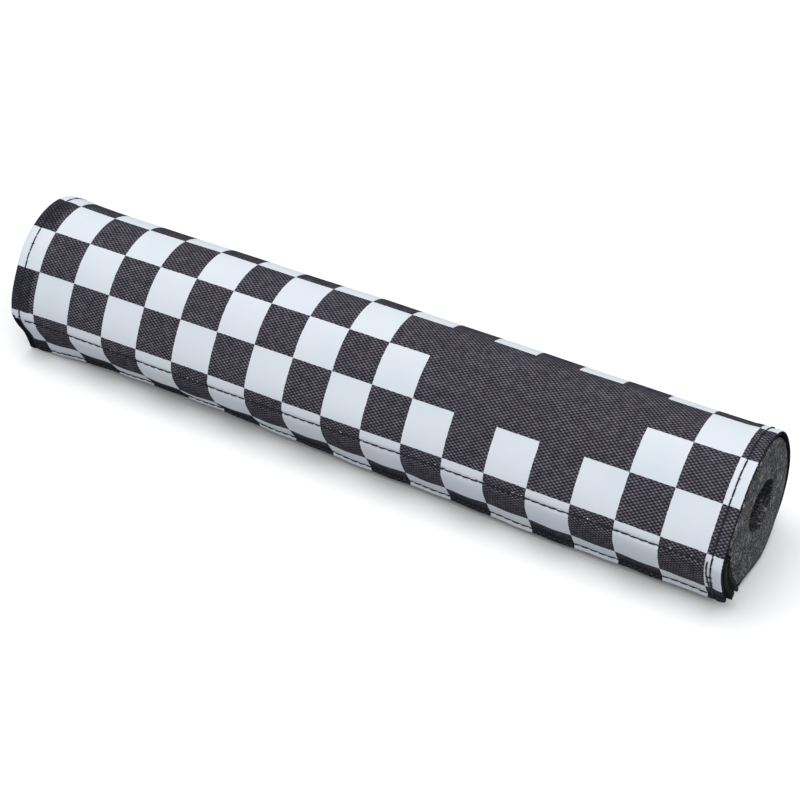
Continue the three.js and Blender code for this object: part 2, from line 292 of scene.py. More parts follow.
def cover_angle(distance):
    """Section angle at a distance along the cloth from the flap's free edge."""
    return np.interp(distance, MEASURE_LENGTHS, MEASURE_ANGLES)


# Small forms of the cloth

def lower_seam(x):
    """The lower seam was sewn close to the free edge."""
    return LOWER_SEAM - EDGE_SEAM_SHIFT + 0.004 * x


def upper_seam(x):
    """The upper seam was sewn a little out of line with the print."""
    return UPPER_SEAM - SEAM_SINK + SEAM_SLANT * x


def groove(offset, width):
    """A rounded bell of height 1 centred on offset 0."""
    return np.exp(-(offset / width) ** 2)


def edge_wander(x):
    """How far the flap's free edge stands out or in: a raised left corner, then hollows and swells."""
    wander = sum(height * groove(x - place * MM, width * MM) for height, place, width in EDGE_BELLS)
    return MM * (wander - 0.3 * ease(HALF - 2.2 * MM, HALF, x))


def top_rise(x, distance):
    """The cloth stands up a little along the top, most at the left hem, and lies in near the right."""
    middle = 0.35 * groove(x + 15 * MM, 60 * MM) - 0.3 * groove(x - 92 * MM, 20 * MM)
    left = 0.8 * groove(x + 125 * MM, 15 * MM) * groove(distance - 69 * MM, 15 * MM)
    return MM * (middle * groove(distance - 74 * MM, 16 * MM) + left)


def cloth_detail(x, distance):
    """Height of the cloth over its plain form: sunk seams with puckers, hem ridge and slack."""
    end = HALF - np.abs(x)
    outer_turn = distance < COVERED_FROM - 1 * MM
    hem_pucker = 0.5 + 0.5 * np.cos(2 * np.pi * distance / STITCH)
    height = -HEM_SEAM_DEPTH * groove(end - HEM_SEAM, SEAM_DIP_WIDTH) * (0.75 + 0.25 * hem_pucker)
    height = height + HEM_RIDGE * ease(HEM_WIDTH + 0.6 * MM, HEM_WIDTH - 0.6 * MM, end)
    inside = ease(SEAM_END - 1 * MM, SEAM_END + 1 * MM, end)
    seam_pucker = 0.5 + 0.5 * np.cos(2 * np.pi * (x + HALF) / STITCH)
    for seam, depth in ((lower_seam(x), LOWER_SEAM_DEPTH), (upper_seam(x), UPPER_SEAM_DEPTH)):
        dip = groove(distance - seam, SEAM_DIP_WIDTH) * (0.7 + 0.3 * seam_pucker)
        height = height - depth * dip * inside
    flap = 1 - ease(upper_seam(x) - 2 * MM, upper_seam(x) + 3 * MM, distance)
    slack = np.sin(2 * np.pi * x / (1.03 * SQUARE) + 0.6) + 0.6 * np.sin(2 * np.pi * x / (2.3 * SQUARE))
    height = height + SLACK_HEIGHT * flap * slack * inside
    crown = 1 - ease(0, 2.5 * MM, np.abs(distance - (lower_seam(x) + upper_seam(x)) / 2) - 5 * MM)
    height = height + CROWN_HEIGHT * crown * flap * inside
    roll = np.sin(2 * np.pi * (x / 0.083 + distance / 0.061))
    roll = roll + np.sin(2 * np.pi * (x / 0.047 - distance / 0.09) + 1)
    height = height + ROLL_HEIGHT * roll * (1 - flap)
    swell = SWELL_HEIGHT * groove(x + 8 * MM, 26 * MM) * groove(distance - 23 * MM, 7 * MM)
    sink = -SINK_DEPTH * ease(-58 * MM, -98 * MM, x) * (1 - ease(14 * MM, 38 * MM, distance))
    height = height + swell + sink + top_rise(x, distance)
    height = height + (edge_wander(x) - EDGE_DROP) * (1 - ease(0, LOWER_SEAM + 6 * MM, distance))
    height = height + EDGE_FLARE * (1 - ease(0, EDGE_FLARE_REACH, distance))
    return np.where(outer_turn, height, 0.0)


# Making meshes

def mesh_object(name, vertices, quads, uv=None, mark=None):
    """A smooth-shaded object. uv holds the cloth's flat place and mark a number for each point."""
    mesh = bpy.data.meshes.new(name)
    mesh.from_pydata(vertices.reshape(-1, 3).tolist(), [], quads.tolist())
    if uv is not None:
        layer = mesh.uv_layers.new(name="cloth")
        loops = np.empty(len(mesh.loops), dtype=np.int32)
        mesh.loops.foreach_get("vertex_index", loops)
        layer.data.foreach_set("uv", uv.reshape(-1, 2)[loops].ravel())
    if mark is not None:
        mesh.attributes.new("mark", "FLOAT", "POINT").data.foreach_set("value", mark.ravel())
    mesh.polygons.foreach_set("use_smooth", np.ones(len(mesh.polygons), dtype=bool))
    mesh.update()
    obj = bpy.data.objects.new(name, mesh)
    bpy.context.scene.collection.objects.link(obj)
    return obj


def grid_quads(rows, columns, close_columns=False, start=0):
    """Faces of a grid of rows by columns, wound from row to row and column to column."""
    r = np.arange(rows - 1)[:, None]
    c = np.arange(columns if close_columns else columns - 1)[None, :]
    r1, c1 = r + 1, (c + 1) % columns
    corners = [r * columns + c, r1 * columns + c, r1 * columns + c1, r * columns + c1]
    return np.stack([np.broadcast_to(k, (r.size, c.size)) for k in corners], -1).reshape(-1, 4) + start


def spaced(start, end, step, fine=(), fine_step=0.3 * MM, reach=2 * MM):
    """Values from start to end about a step apart, and closer together near the fine places."""
    values = list(np.linspace(start, end, int(round((end - start) / step)) + 1))
    for place in fine:
        low, high = max(start, place - reach), min(end, place + reach)
        values = [v for v in values if v < low - 1e-9 or v > high + 1e-9]
        values += list(np.linspace(low, high, int(round((high - low) / fine_step)) + 1))
    return np.unique(np.round(values, 8))


# Sheets

def fold_inset(end, radius):
    """How far a face draws in towards a fold of this radius, as a quarter circle."""
    short = np.clip(radius - end, 0, radius)
    return radius - np.sqrt(np.maximum(radius * radius - short * short, 0))


def closed_sheet(name, x, d, angle, outer, inner, printed=None):
    """One closed sheet: its outside and inside are the same grid, joined along the four edges."""
    sides = []
    for radius in (outer, inner):
        y, z = section_yz(x, angle, radius)
        sides.append(np.stack([x, y, np.maximum(z, 0.0)], -1))
    rows, columns = x.shape
    front = grid_quads(rows, columns)
    back = grid_quads(rows, columns, start=rows * columns)[:, ::-1]
    index = np.arange(rows * columns).reshape(rows, columns)
    rim = np.concatenate([index[:, 0], index[-1, 1:], index[-2::-1, -1], index[0, -2:0:-1]])
    after = np.roll(rim, -1)
    walls = np.stack([after, rim, rim + rows * columns, after + rows * columns], -1)
    uv = np.stack([x + HALF, d], -1)
    quads = np.concatenate([front, back, walls])
    return mesh_object(name, np.stack(sides), quads, np.stack([uv, uv]), printed)


def make_cover():
    """The section at each angle, lifted by the cloth's detail and turned in at the folds. Only the
    outside is printed, up to the folds, and the flap's left rim is bare outside its seam."""
    xs = spaced(-HALF, HALF, 1.05 * MM, (-HALF, HALF), 0.17 * MM, 1.2 * MM)
    ds = spaced(0, COVER_LENGTH, 1.0 * MM, (0, LOWER_SEAM, UPPER_SEAM), 0.35 * MM, 1.5 * MM)
    x, d = np.meshgrid(xs, ds, indexing="ij")
    angle = cover_angle(d)
    end = HALF - np.abs(x)
    edge = np.minimum(d, COVER_LENGTH - d)
    hem = ease(HEM_WIDTH + 0.25 * MM, HEM_WIDTH - 0.25 * MM, end)
    thickness = CLOTH * (1 + hem)
    surface = cover_radius(angle, x) + cloth_detail(x, d)
    trim = fold_inset(end, 0.42 * thickness) + fold_inset(edge, 0.4 * thickness)
    trim = np.minimum(trim, 0.49 * thickness)
    bare = BARE_RIM * (x < 0) * (1 - ease(*BARE_RIM_FADE, d))
    outside = ease(0.1 * MM, 0.42 * MM, end - bare) * ease(0.05 * MM, 0.3 * MM, edge)
    printed = np.stack([outside, np.zeros_like(outside)])
    return closed_sheet("cover_cloth", x, d, angle, surface - trim, surface - thickness + trim, printed)


def tape_grid(right_end, width):
    """Stations along a tape, closer together near its cut right end, by distances across it."""
    across = spaced(0, width, 0.5 * MM)[None, :]
    share = 1 - np.linspace(1, 0, 150)[:, None] ** 2
    start = -HALF + HEM_WIDTH + TAPE_CLEARANCE
    return start + share * (right_end(across) - start), across


def make_hook_tape():
    """The tape inside the flap: a band of hooks between thin sewn edges. Its right end is turned
    under, so it is thicker there and fills the flap up to the rim."""
    def right_end(across):
        ragged = 0.08 * MM * np.sin(1900 * across + 0.6) * np.sin(5200 * across)
        return HALF + HOOK_END + HOOK_END_LOW * (1 - ease(0, HOOK_LOW_REACH, across)) + ragged

    x, across = tape_grid(right_end, HOOK_TAPE_WIDTH)
    hem = ease(HEM_WIDTH + 0.5 * MM, HEM_WIDTH - 0.8 * MM, HALF - x)
    d = across + TAPE_MARGIN - HOOK_END_DROP * hem * (1 - across / HOOK_TAPE_WIDTH)
    angle = cover_angle(d)
    inset = np.minimum(across, HOOK_TAPE_WIDTH - across)
    band = np.maximum(ease(SELVEDGE_WIDTH - 0.2 * MM, SELVEDGE_WIDTH + 0.3 * MM, inset), hem)
    outer = cover_radius(angle, x) + cloth_detail(x, d) - CLOTH * (1 + hem) - 0.05 * MM
    thickness = SELVEDGE_THICKNESS + band * (HOOK_THICKNESS - SELVEDGE_THICKNESS + 0.9 * MM * hem)
    return closed_sheet("hook_band", x, d, angle, outer, outer - thickness)


def make_loop_tape():
    """The tape on the tucked edge. Its cut right end runs past the rim and is longest near its lower
    corner, which is clipped."""
    def low(across):
        return groove(across - LOOP_LOW_PLACE, LOOP_LOW_REACH)

    def right_end(across):
        ragged = 0.05 * MM * np.sin(2600 * across) + 0.05 * MM * np.sin(6100 * across + 1)
        return HALF + LOOP_END + LOOP_END_LOW * low(across) + ragged

    x, across = tape_grid(right_end, LOOP_TAPE_WIDTH)
    d = np.broadcast_to(across + COVER_LENGTH - TAPE_MARGIN - LOOP_TAPE_WIDTH, x.shape)
    angle = cover_angle(d)
    inset = np.minimum(across, LOOP_TAPE_WIDTH - across)
    band = ease(SELVEDGE_WIDTH - 0.2 * MM, SELVEDGE_WIDTH + 0.3 * MM, inset)
    droop = LOOP_DROOP * ease(HALF - 1 * MM, HALF + 2 * MM, x) * low(across)
    inner = body_radius(angle, x) + 0.1 * MM + droop
    outer = inner + SELVEDGE_THICKNESS + band * (LOOP_THICKNESS - SELVEDGE_THICKNESS)
    return closed_sheet("loop_band", x, d, angle, outer, inner)


# Foam

def foam_proud(angle):
    """How far the cut right end stands out past the hem: most at the bottom."""
    return PROUD * groove(np.mod(angle - PROUD_ANGLE + 180, 360) - 180, PROUD_REACH)


def shift_at(y, z):
    """How far the right end stands out at a point of its face."""
    return foam_proud(np.degrees(np.arctan2(z - REST_HEIGHT, -y)))


def make_foam():
    """A closed ring of section points, outside then bore, carried along X with rounded cut edges.
    Fine ripples of the cut are sums of sines, strongest on the end faces."""
    end = HALF - FOAM_RECESS
    half_xs = np.concatenate([np.array([0, 30, 60, 85, 100, 108]) * MM,
                              spaced(HEM_START - 1.6 * MM, end, 0.9 * MM, (end,), 0.15 * MM, 1.4 * MM)])
    xs = np.concatenate([-half_xs[:0:-1], half_xs])
    share = np.linspace(0, 1, 241)
    outer_slit = math.degrees(math.asin(SLIT_WIDTH / 2 / float(foam_radius(SLIT_ANGLE, 0.0))))
    bore_slit = math.degrees(math.asin(SLIT_WIDTH / BORE_WIDTH))
    outer_angle = SLIT_ANGLE + outer_slit + share * (360 - 2 * outer_slit)
    bore_angle = SLIT_ANGLE + bore_slit + share * (360 - 2 * bore_slit)
    x, a = np.meshgrid(xs, outer_angle, indexing="ij")
    squeeze = CLOTH * ease(HEM_START - 1.3 * MM, HEM_START - 0.3 * MM, np.abs(x))
    rounding = fold_inset(end - np.abs(x), 0.5 * MM)
    proud = foam_proud(a) * ease(end - 1.3 * MM, end, x)
    lip = 1.9 * proud * ease(end - 0.5 * MM, end - 0.1 * MM, x)
    cloth_angle = a - twist(x)
    outer = foam_radius(cloth_angle, x) - squeeze - rounding + lip
    outer_y, outer_z = section_yz(x, cloth_angle, outer)
    b = np.radians(np.broadcast_to(bore_angle, x.shape))
    wobble = 0.18 * MM * np.sin(3 * b + 40 * x) + 0.1 * MM * np.sin(7 * b - 90 * x)
    mouth = ease(HALF - MOUTH_LENGTH, HALF, x)
    bore_y = BORE_BACK - MOUTH_FORWARD * mouth - (BORE_WIDTH / 2 + rounding + wobble) * np.cos(b)
    bore_middle = REST_HEIGHT + BORE_RISE + MOUTH_RISE * mouth
    bore_z = bore_middle + (BORE_HEIGHT / 2 + rounding + wobble) * np.sin(b)
    steps = np.linspace(0, 1, 11)[:, None, None]
    wall_y = outer_y[..., [0, -1]] + steps * (bore_y - outer_y)[..., [0, -1]]
    wall_z = outer_z[..., [0, -1]] + steps * (bore_z - outer_z)[..., [0, -1]]
    ring_y = np.concatenate([outer_y, wall_y[1:-1, :, 1].T, bore_y[:, ::-1], wall_y[-2:0:-1, :, 0].T], 1)
    ring_z = np.concatenate([outer_z, wall_z[1:-1, :, 1].T, bore_z[:, ::-1], wall_z[-2:0:-1, :, 0].T], 1)
    ring_x = xs[:, None] + shift_at(ring_y, ring_z) * ease(end - 1.3 * MM, end, xs)[:, None]
    vertices = [np.stack([ring_x, ring_y, ring_z], -1).reshape(-1, 3)]
    rows, columns = ring_y.shape
    # Marks: painted shade inside the bore, lighter on its lit wall; negative at the front rim for crumbs
    in_bore = np.zeros((rows, columns))
    lit = LIT_SHARE * groove(bore_angle[::-1] - LIT_ANGLE, LIT_REACH)
    lit = lit * ease(end - LIT_LENGTH, end, xs)[1:-1, None]
    in_bore[1:-1, len(share) + len(steps) - 2:-(len(steps) - 2)] = 1.0 - lit
    in_bore[xs > end - 0.5 * MM, :len(share)] = -groove(outer_angle - RIM_ANGLE, RIM_REACH)
    quads = [grid_quads(rows, columns, close_columns=True)]
    count = rows * columns
    for row, side in ((0, -1), (rows - 1, 1)):
        ring = ring_y[row], ring_z[row]
        face, face_quads = foam_face(*ring, len(share), side * end, count, row * columns)
        vertices.append(face)
        quads.append(face_quads if side > 0 else face_quads[:, ::-1])
        count += len(face)
    shaded = np.concatenate([in_bore.ravel(), np.zeros(count - in_bore.size)])
    return mesh_object("foam_tube", np.concatenate(vertices), np.concatenate(quads), mark=shaded)


def foam_face(ring_y, ring_z, spokes, x, start, ring_start):
    """The cut end: rings between the outside and the bore, the inner ones raised and sunk by noise."""
    total = len(ring_y)
    walls = (total - 2 * spokes) // 2
    levels = walls + 2
    outer = np.stack([ring_y[:spokes], ring_z[:spokes]], -1)
    bore_part = slice(spokes + walls, 2 * spokes + walls)
    bore = np.stack([ring_y[bore_part], ring_z[bore_part]], -1)[::-1]
    share = np.linspace(0, 1, levels)[:, None, None]
    points = outer[None] + share * (bore - outer)[None]
    index = np.zeros((levels, spokes), dtype=np.int64)
    index[0] = ring_start + np.arange(spokes)
    index[-1] = ring_start + spokes + walls + np.arange(spokes)[::-1]
    index[1:-1, -1] = ring_start + spokes + np.arange(walls)
    index[1:-1, 0] = ring_start + total - 1 - np.arange(walls)
    inner = points[1:-1, 1:-1]
    index[1:-1, 1:-1] = start + np.arange(inner.shape[0] * inner.shape[1]).reshape(inner.shape[:2])
    y, z = inner[..., 0], inner[..., 1]
    rough = np.sin(2100 * y + 900 * z) * np.sin(1700 * z - 1300 * y)
    rough = rough + np.sin(950 * y - 400) * np.sin(1150 * z)
    bulge = 0.35 * MM * np.sin(np.pi * share[1:-1, :, 0]) + 0.05 * MM * rough
    lean = shift_at(y, z) if x > 0 else 0 * y
    face = np.stack([x + lean + np.sign(x) * bulge, y, z], -1).reshape(-1, 3)
    a, b = index[:-1, :-1], index[:-1, 1:]
    c, d = index[1:, 1:], index[1:, :-1]
    return face, np.stack([a, d, c, b], -1).reshape(-1, 4)


# Thread

def tube(path, normal, radius, flat=1.0):
    """Rings of eight points carried along each path and closed by a flat cap at both ends. path and
    normal are arrays of stitches by steps by 3."""
    count, steps, _ = path.shape
    along = np.gradient(path, axis=1)
    along /= np.linalg.norm(along, axis=-1, keepdims=True)
    across = np.cross(along, normal)
    across /= np.linalg.norm(across, axis=-1, keepdims=True)
    up = np.cross(across, along)
    turn = np.arange(TUBE_SIDES) * 2 * np.pi / TUBE_SIDES
    size = np.broadcast_to(radius, (count, steps))[:, :, None, None]
    wide, high = np.cos(turn)[None, None, :, None], flat * np.sin(turn)[None, None, :, None]
    ring = wide * across[:, :, None] + high * up[:, :, None]
    vertices = path[:, :, None] + size * ring
    one = grid_quads(steps, TUBE_SIDES, close_columns=True)
    caps = np.array([[0, 1, 2, 3], [0, 3, 4, 7], [4, 5, 6, 7]])
    last = (steps - 1) * TUBE_SIDES
    block = np.concatenate([one[:, ::-1], caps, caps[:, ::-1] + last])
    offsets = np.arange(count)[:, None, None] * steps * TUBE_SIDES
    return vertices.reshape(-1, 3), (block[None] + offsets).reshape(-1, 4)


def stitch_row(place, start, finish, phase):
    """A row of single stitches, each a short arch between two needle holes: a power of a sine, less
    a dip at both ends. place(along, height, drift) gives the points."""
    count = int(round((finish - start) / STITCH))
    pitch = (finish - start) / count
    t = np.linspace(0, 1, 11)
    jitter = np.sin(np.arange(count) * GOLDEN_ANGLE + phase)
    s = start + (np.arange(count)[:, None] + 0.01 + 0.98 * t[None]) * pitch
    height = ARCH_HEIGHT * (np.sin(np.pi * t) ** 0.45)[None] * (1 + 0.12 * jitter[:, None])
    height = height - ARCH_DIP * ((2 * t - 1) ** 10)[None]
    drift = 0.08 * MM * (2 * t - 1)[None] ** 3 + 0.05 * MM * jitter[:, None]
    path = place(s, height, drift)
    normal = place(s, height + 1 * MM, drift) - path
    radius = 0.5 * THREAD * (0.86 + 0.18 * np.sin(np.pi * t))[None] * (1 + 0.06 * jitter[:, None])
    return tube(path, normal, radius, THREAD_FLATNESS)


def thread_ends(place, start, finish, every, length, phase):
    """Short slack loops and cut ends that lie across a seam at some of its needle holes."""
    holes = start + STITCH * np.arange(0, int((finish - start) / STITCH), every)
    t = np.linspace(0, 1, 7)
    jitter = np.sin(np.arange(len(holes)) * 1.7 + phase)[:, None]
    s = holes[:, None] + 0.35 * MM * jitter * t[None]
    drift = (t[None] - 0.3) * length * (1 + 0.4 * jitter)
    height = 0.45 * THREAD + 0.2 * THREAD * np.sin(np.pi * t)[None] + 0 * jitter
    path = place(s, height, drift)
    normal = place(s, height + 1 * MM, drift) - path
    return tube(path, normal, 0.36 * THREAD * (1 - 0.5 * t[None] ** 3))


def over_cloth(x, distance, height):
    """Points at a height over the outside of the cloth."""
    angle = cover_angle(distance)
    y, z = section_yz(x, angle, cover_radius(angle, x) + cloth_detail(x, distance) + height)
    return np.stack(np.broadcast_arrays(x, y, z), -1)


def joined(parts):
    """Several meshes as one."""
    vertices, quads, start = [], [], 0
    for part_vertices, part_quads in parts:
        vertices.append(part_vertices)
        quads.append(part_quads + start)
        start += len(part_vertices)
    return np.concatenate(vertices), np.concatenate(quads)


def hem_seam(side):
    """The seam beside a rim. The right one has a short second row low on the flap."""
    x_seam = side * (HALF - HEM_SEAM)

    def place(s, height, drift):
        return over_cloth(x_seam + drift, s, height)

    finish = COVERED_FROM - TAPE_MARGIN
    parts = [stitch_row(place, TAPE_MARGIN, finish, side)]
    parts.append(thread_ends(place, TAPE_MARGIN, finish, 3, 0.8 * MM, side))
    if side > 0:
        def beside(s, height, drift):
            return over_cloth(x_seam - 1.2 * MM - 0.06 * (s - UPPER_SEAM) + 1.4 * drift, s, height)

        parts.append(stitch_row(beside, UPPER_SEAM - 15 * MM, UPPER_SEAM + 1.5 * MM, 2.0))
        parts.append(thread_ends(place, LOWER_SEAM, UPPER_SEAM, 1, -1.5 * MM, 2.0))
    name = "hem_thread_right" if side > 0 else "hem_thread_left"
    return mesh_object(name, *joined(parts))


def flap_seam(name, line, phase):
    """A long seam of the flap. line(x) is its distance from the free edge."""
    def place(s, height, drift):
        return over_cloth(s, line(s) + drift, height)

    reach = HALF - SEAM_END
    row = stitch_row(place, -reach, reach, phase)
    ends = thread_ends(place, -reach, reach, 4, 0.7 * MM, phase)
    return mesh_object(name, *joined([row, ends]))


def inner_seam(name, distance):
    """A hidden row of stitches on a sewn edge of the loop tape."""
    def place(s, height, drift):
        spot = cover_angle(distance + drift)
        lift = GAP + SELVEDGE_THICKNESS + height
        y, z = section_yz(s, spot, body_radius(spot, s) + lift)
        return np.stack(np.broadcast_arrays(s, y, z), -1)

    return mesh_object(name, *stitch_row(place, -HALF + SEAM_END, HALF - SEAM_END, 0.3))


# Materials

def new_material(name):
    """A new material, with the helper for its nodes and its shader."""
    material = bpy.data.materials.new(name)
    material.use_nodes = True
    tree = material.node_tree
    return material, Nodes(tree), tree.nodes["Principled BSDF"]


class Nodes:
    """Short ways to add the nodes that the materials share."""

    def __init__(self, tree):
        self.tree = tree

    def add(self, kind, **values):
        node = self.tree.nodes.new(kind)
        for key, value in values.items():
            setattr(node, key, value)
        return node

    def join(self, source, target):
        self.tree.links.new(source, target)

    def feed(self, socket, value):
        if hasattr(value, "links"):
            self.join(value, socket)
        else:
            socket.default_value = value

    def math(self, operation, first, second=0.0, third=0.0):
        node = self.add("ShaderNodeMath", operation=operation)
        for socket, value in zip(node.inputs, (first, second, third)):
            self.feed(socket, value)
        return node.outputs[0]

    def plus(self, *values):
        total = values[0]
        for value in values[1:]:
            total = self.math("ADD", total, value)
        return total

    def times(self, *values):
        product = values[0]
        for value in values[1:]:
            product = self.math("MULTIPLY", product, value)
        return product

    def minus(self, first, second):
        return self.math("SUBTRACT", first, second)

    def smooth(self, value, start, end):
        """Smooth step from 0 at start to 1 at end."""
        node = self.add("ShaderNodeMapRange", interpolation_type="SMOOTHSTEP")
        for socket, given in zip(node.inputs, (value, start, end, 0.0, 1.0)):
            self.feed(socket, given)
        return node.outputs[0]

    def noise(self, vector, scale, detail=3.0, roughness=0.55):
        node = self.add("ShaderNodeTexNoise")
        self.join(vector, node.inputs["Vector"])
        node.inputs["Scale"].default_value = scale
        node.inputs["Detail"].default_value = detail
        node.inputs["Roughness"].default_value = roughness
        return node.outputs[0]

    def ramp(self, value, stops):
        node = self.add("ShaderNodeValToRGB")
        elements = node.color_ramp.elements
        while len(elements) < len(stops):
            elements.new(0.5)
        for element, (place, colour) in zip(elements, stops):
            element.position = place
            element.color = (*colour, 1.0)
        self.join(value, node.inputs[0])
        return node.outputs[0]

    def mix(self, share, first, second):
        node = self.add("ShaderNodeMix", data_type="RGBA")
        self.feed(node.inputs[0], share)
        for socket, value in ((node.inputs[6], first), (node.inputs[7], second)):
            self.feed(socket, value if hasattr(value, "links") else (*value, 1.0))
        return node.outputs[2]

    def bump(self, height, strength, distance):
        node = self.add("ShaderNodeBump")
        self.join(height, node.inputs["Height"])
        node.inputs["Strength"].default_value = strength
        node.inputs["Distance"].default_value = distance
        return node.outputs[0]


def print_mask(n, uv, u, v, outside):
    """White squares where column plus row is odd. Their edges stray by a thread's width, those on the
    flap sway a little, and the cloth sits lower towards the left end. A block of five by two squares
    stays black, and the print ends raggedly at the folds. The right front fold has a few specks."""
    stray = n.times(n.minus(n.noise(uv, 900, 2), 0.5), EDGE_STRAY)
    flap = n.minus(1.0, n.math("SMOOTH_MIN", n.math("DIVIDE", v, 1.45 * SQUARE), 1.0, 0.15))
    sway = n.math("SINE", n.plus(n.times(u, 2 * math.pi / SQUARE), 0.9))
    across = n.plus(n.math("DIVIDE", n.plus(u, stray), SQUARE), 2 - FIRST_COLUMN)
    left = n.math("MAXIMUM", n.minus(1.0, n.math("DIVIDE", u, SAG_LENGTH)), 0.0)
    left = n.math("POWER", left, SAG_POWER)
    higher = n.math("MAXIMUM", n.minus(1.0, n.math("DIVIDE", v, SAG_WIDTH)), 0.0)
    strayed = n.plus(v, stray, n.times(sway, flap, FLAP_SWAY), n.times(left, higher, SAG_DEPTH))
    along = n.plus(n.math("DIVIDE", strayed, SQUARE), 2 - FIRST_ROW)
    column, row = n.math("FLOOR", across), n.math("FLOOR", along)
    white_square = n.math("MODULO", n.plus(column, row), 2.0)
    bare = n.times(n.math("COMPARE", column, *BARE_COLUMNS), n.math("COMPARE", row, *BARE_ROWS))
    ragged = n.times(n.minus(n.noise(uv, 1500, 2), 0.5), 1.1)
    front = n.times(n.math("COMPARE", v, *FOLD_SPECKS), n.math("GREATER_THAN", u, PAD_LENGTH / 2))
    specks = n.times(n.minus(n.noise(uv, 2600, 1), 0.5), front, 3.0)
    printed = n.math("MAXIMUM", n.plus(outside, ragged), specks)
    return n.times(white_square, n.minus(1.0, bare), n.math("GREATER_THAN", printed, 0.5))


def seam_highlights(n, uv, u, v):
    """Painted highlights: a few bright specks just above the upper seam, at its needle holes."""
    seam = n.plus(n.times(u, SEAM_SLANT), UPPER_SEAM - SEAM_SINK - SEAM_SLANT * HALF)
    above = n.math("COMPARE", n.minus(v, seam), *SEAM_HIGHLIGHT_BAND)
    return n.times(above, n.math("GREATER_THAN", n.noise(uv, 1150, 1), 0.63))


def weave_height(n, u, v):
    """A plain weave, a little askew: floats stand up in turn where threads cross, as a product of
    sines, and the threads along the pad stand a little over the others."""
    warp = n.math("DIVIDE", n.minus(u, n.times(v, WEAVE_SKEW)), WEAVE_ALONG)
    weft = n.math("DIVIDE", v, WEAVE_AROUND)
    turn = n.times(n.math("SINE", n.times(warp, math.pi)), n.math("SINE", n.times(weft, math.pi)))
    rib = n.math("COSINE", n.times(weft, 2 * math.pi))
    return n.plus(0.5, n.times(turn, 0.42), n.times(rib, 0.07))


def cover_material():
    """Printed checks over a plain weave, both laid out on the cloth's own flat sizes in metres."""
    material, n, shader = new_material("printed_cloth")
    uv = n.add("ShaderNodeUVMap", uv_map="cloth").outputs[0]
    place = n.add("ShaderNodeTexCoord").outputs["Object"]
    parts = n.add("ShaderNodeSeparateXYZ")
    n.join(uv, parts.inputs[0])
    u, v = parts.outputs[0], parts.outputs[1]
    outside = n.add("ShaderNodeAttribute", attribute_name="mark").outputs["Fac"]
    white = print_mask(n, uv, u, v, outside)
    weave = weave_height(n, u, v)

    # Black: a near-black ground with pale float crowns, which are a painted sheen and differ from one to
    # the next. The top and the free edge are darker as painted shade, and the left hem is darker too.
    uneven = n.plus(0.62, n.times(n.noise(place, 520, 3), 0.76))
    # Painted sheen: the float crowns are drawn pale over the near-black ground
    black = n.ramp(n.times(weave, uneven), BLACK_SHEEN_STOPS)
    in_hem = n.times(n.math("LESS_THAN", u, HEM_WIDTH), HEM_SHADE)
    # Painted shade along the top and near the free edge
    on_top = n.times(n.smooth(v, *TOP_FROM), TOP_PAINTED_SHADE)
    at_edge = n.times(n.minus(1.0, n.smooth(v, *EDGE_TO)), EDGE_PAINTED_SHADE)
    shade = n.math("MAXIMUM", in_hem, n.math("MAXIMUM", on_top, at_edge))
    black = n.mix(shade, black, SHADED_BLACK)
    # Painted shade: the unprinted cloth at the inside, the folds and the bare left rim goes near-black
    black = n.mix(n.times(n.minus(1.0, outside), 0.75), black, FOLD_SHADE_BLACK)
    ink = n.ramp(n.noise(place, 38, 4), INK_STOPS)
    # Painted shade: the ink is a little darker in the weave's hollows
    ink = n.mix(n.times(n.minus(1.0, weave), 0.03), ink, INK_HOLLOW_SHADE)
    # Painted highlights above the upper seam
    colour = n.mix(seam_highlights(n, uv, u, v), n.mix(white, black, ink), SEAM_HIGHLIGHT)
    n.join(colour, shader.inputs["Base Color"])
    n.join(n.minus(0.82, n.times(white, 0.3)), shader.inputs["Roughness"])
    shader.inputs["Specular IOR Level"].default_value = 0.0
    height = n.times(weave, n.minus(1.0, n.times(white, 0.9)))
    n.join(n.bump(height, 0.9, 0.22 * MM), shader.inputs["Normal"])
    return material


def foam_material():
    """Charcoal foam with pale and dark cut cells of two sizes, and a few light crumbs, fewer inside
    the bore and more along the front rim. The bore is painted near-black as shade, less on its lit wall."""
    material, n, shader = new_material("charcoal_foam")
    place = n.add("ShaderNodeTexCoord").outputs["Object"]
    cells = n.noise(place, 1900, 3, 0.8)
    grain = n.plus(n.times(cells, 0.8), n.times(n.noise(place, 300, 3), 0.2))
    colour = n.ramp(grain, FOAM_STOPS)
    mark = n.add("ShaderNodeAttribute", attribute_name="mark").outputs["Fac"]
    in_bore = n.math("MAXIMUM", mark, 0.0)
    at_rim = n.math("MAXIMUM", n.times(mark, -1.0), 0.0)
    # Painted shade inside the bore, with fewer crumbs there
    colour = n.mix(n.times(in_bore, 0.8), colour, BORE_SHADE)
    level = n.plus(n.noise(place, 620, 2, 0.4), n.times(at_rim, 0.09), n.times(in_bore, -0.05))
    crumbs = n.times(n.math("GREATER_THAN", level, 0.66), n.plus(0.7, n.times(at_rim, 0.2)))
    n.join(n.mix(crumbs, colour, CRUMB_GREY), shader.inputs["Base Color"])
    shader.inputs["Roughness"].default_value = 0.93
    shader.inputs["Specular IOR Level"].default_value = 0.2
    n.join(n.bump(grain, 1.0, 0.7 * MM), shader.inputs["Normal"])
    return material


def tape_material():
    """Black tape with a felt of small loops."""
    material, n, shader = new_material("black_tape")
    place = n.add("ShaderNodeTexCoord").outputs["Object"]
    fuzz = n.noise(place, 1700, 4, 0.8)
    colour = n.ramp(fuzz, TAPE_STOPS)
    n.join(colour, shader.inputs["Base Color"])
    shader.inputs["Roughness"].default_value = 0.95
    shader.inputs["Specular IOR Level"].default_value = 0.1
    n.join(n.bump(fuzz, 1.0, 0.5 * MM), shader.inputs["Normal"])
    return material


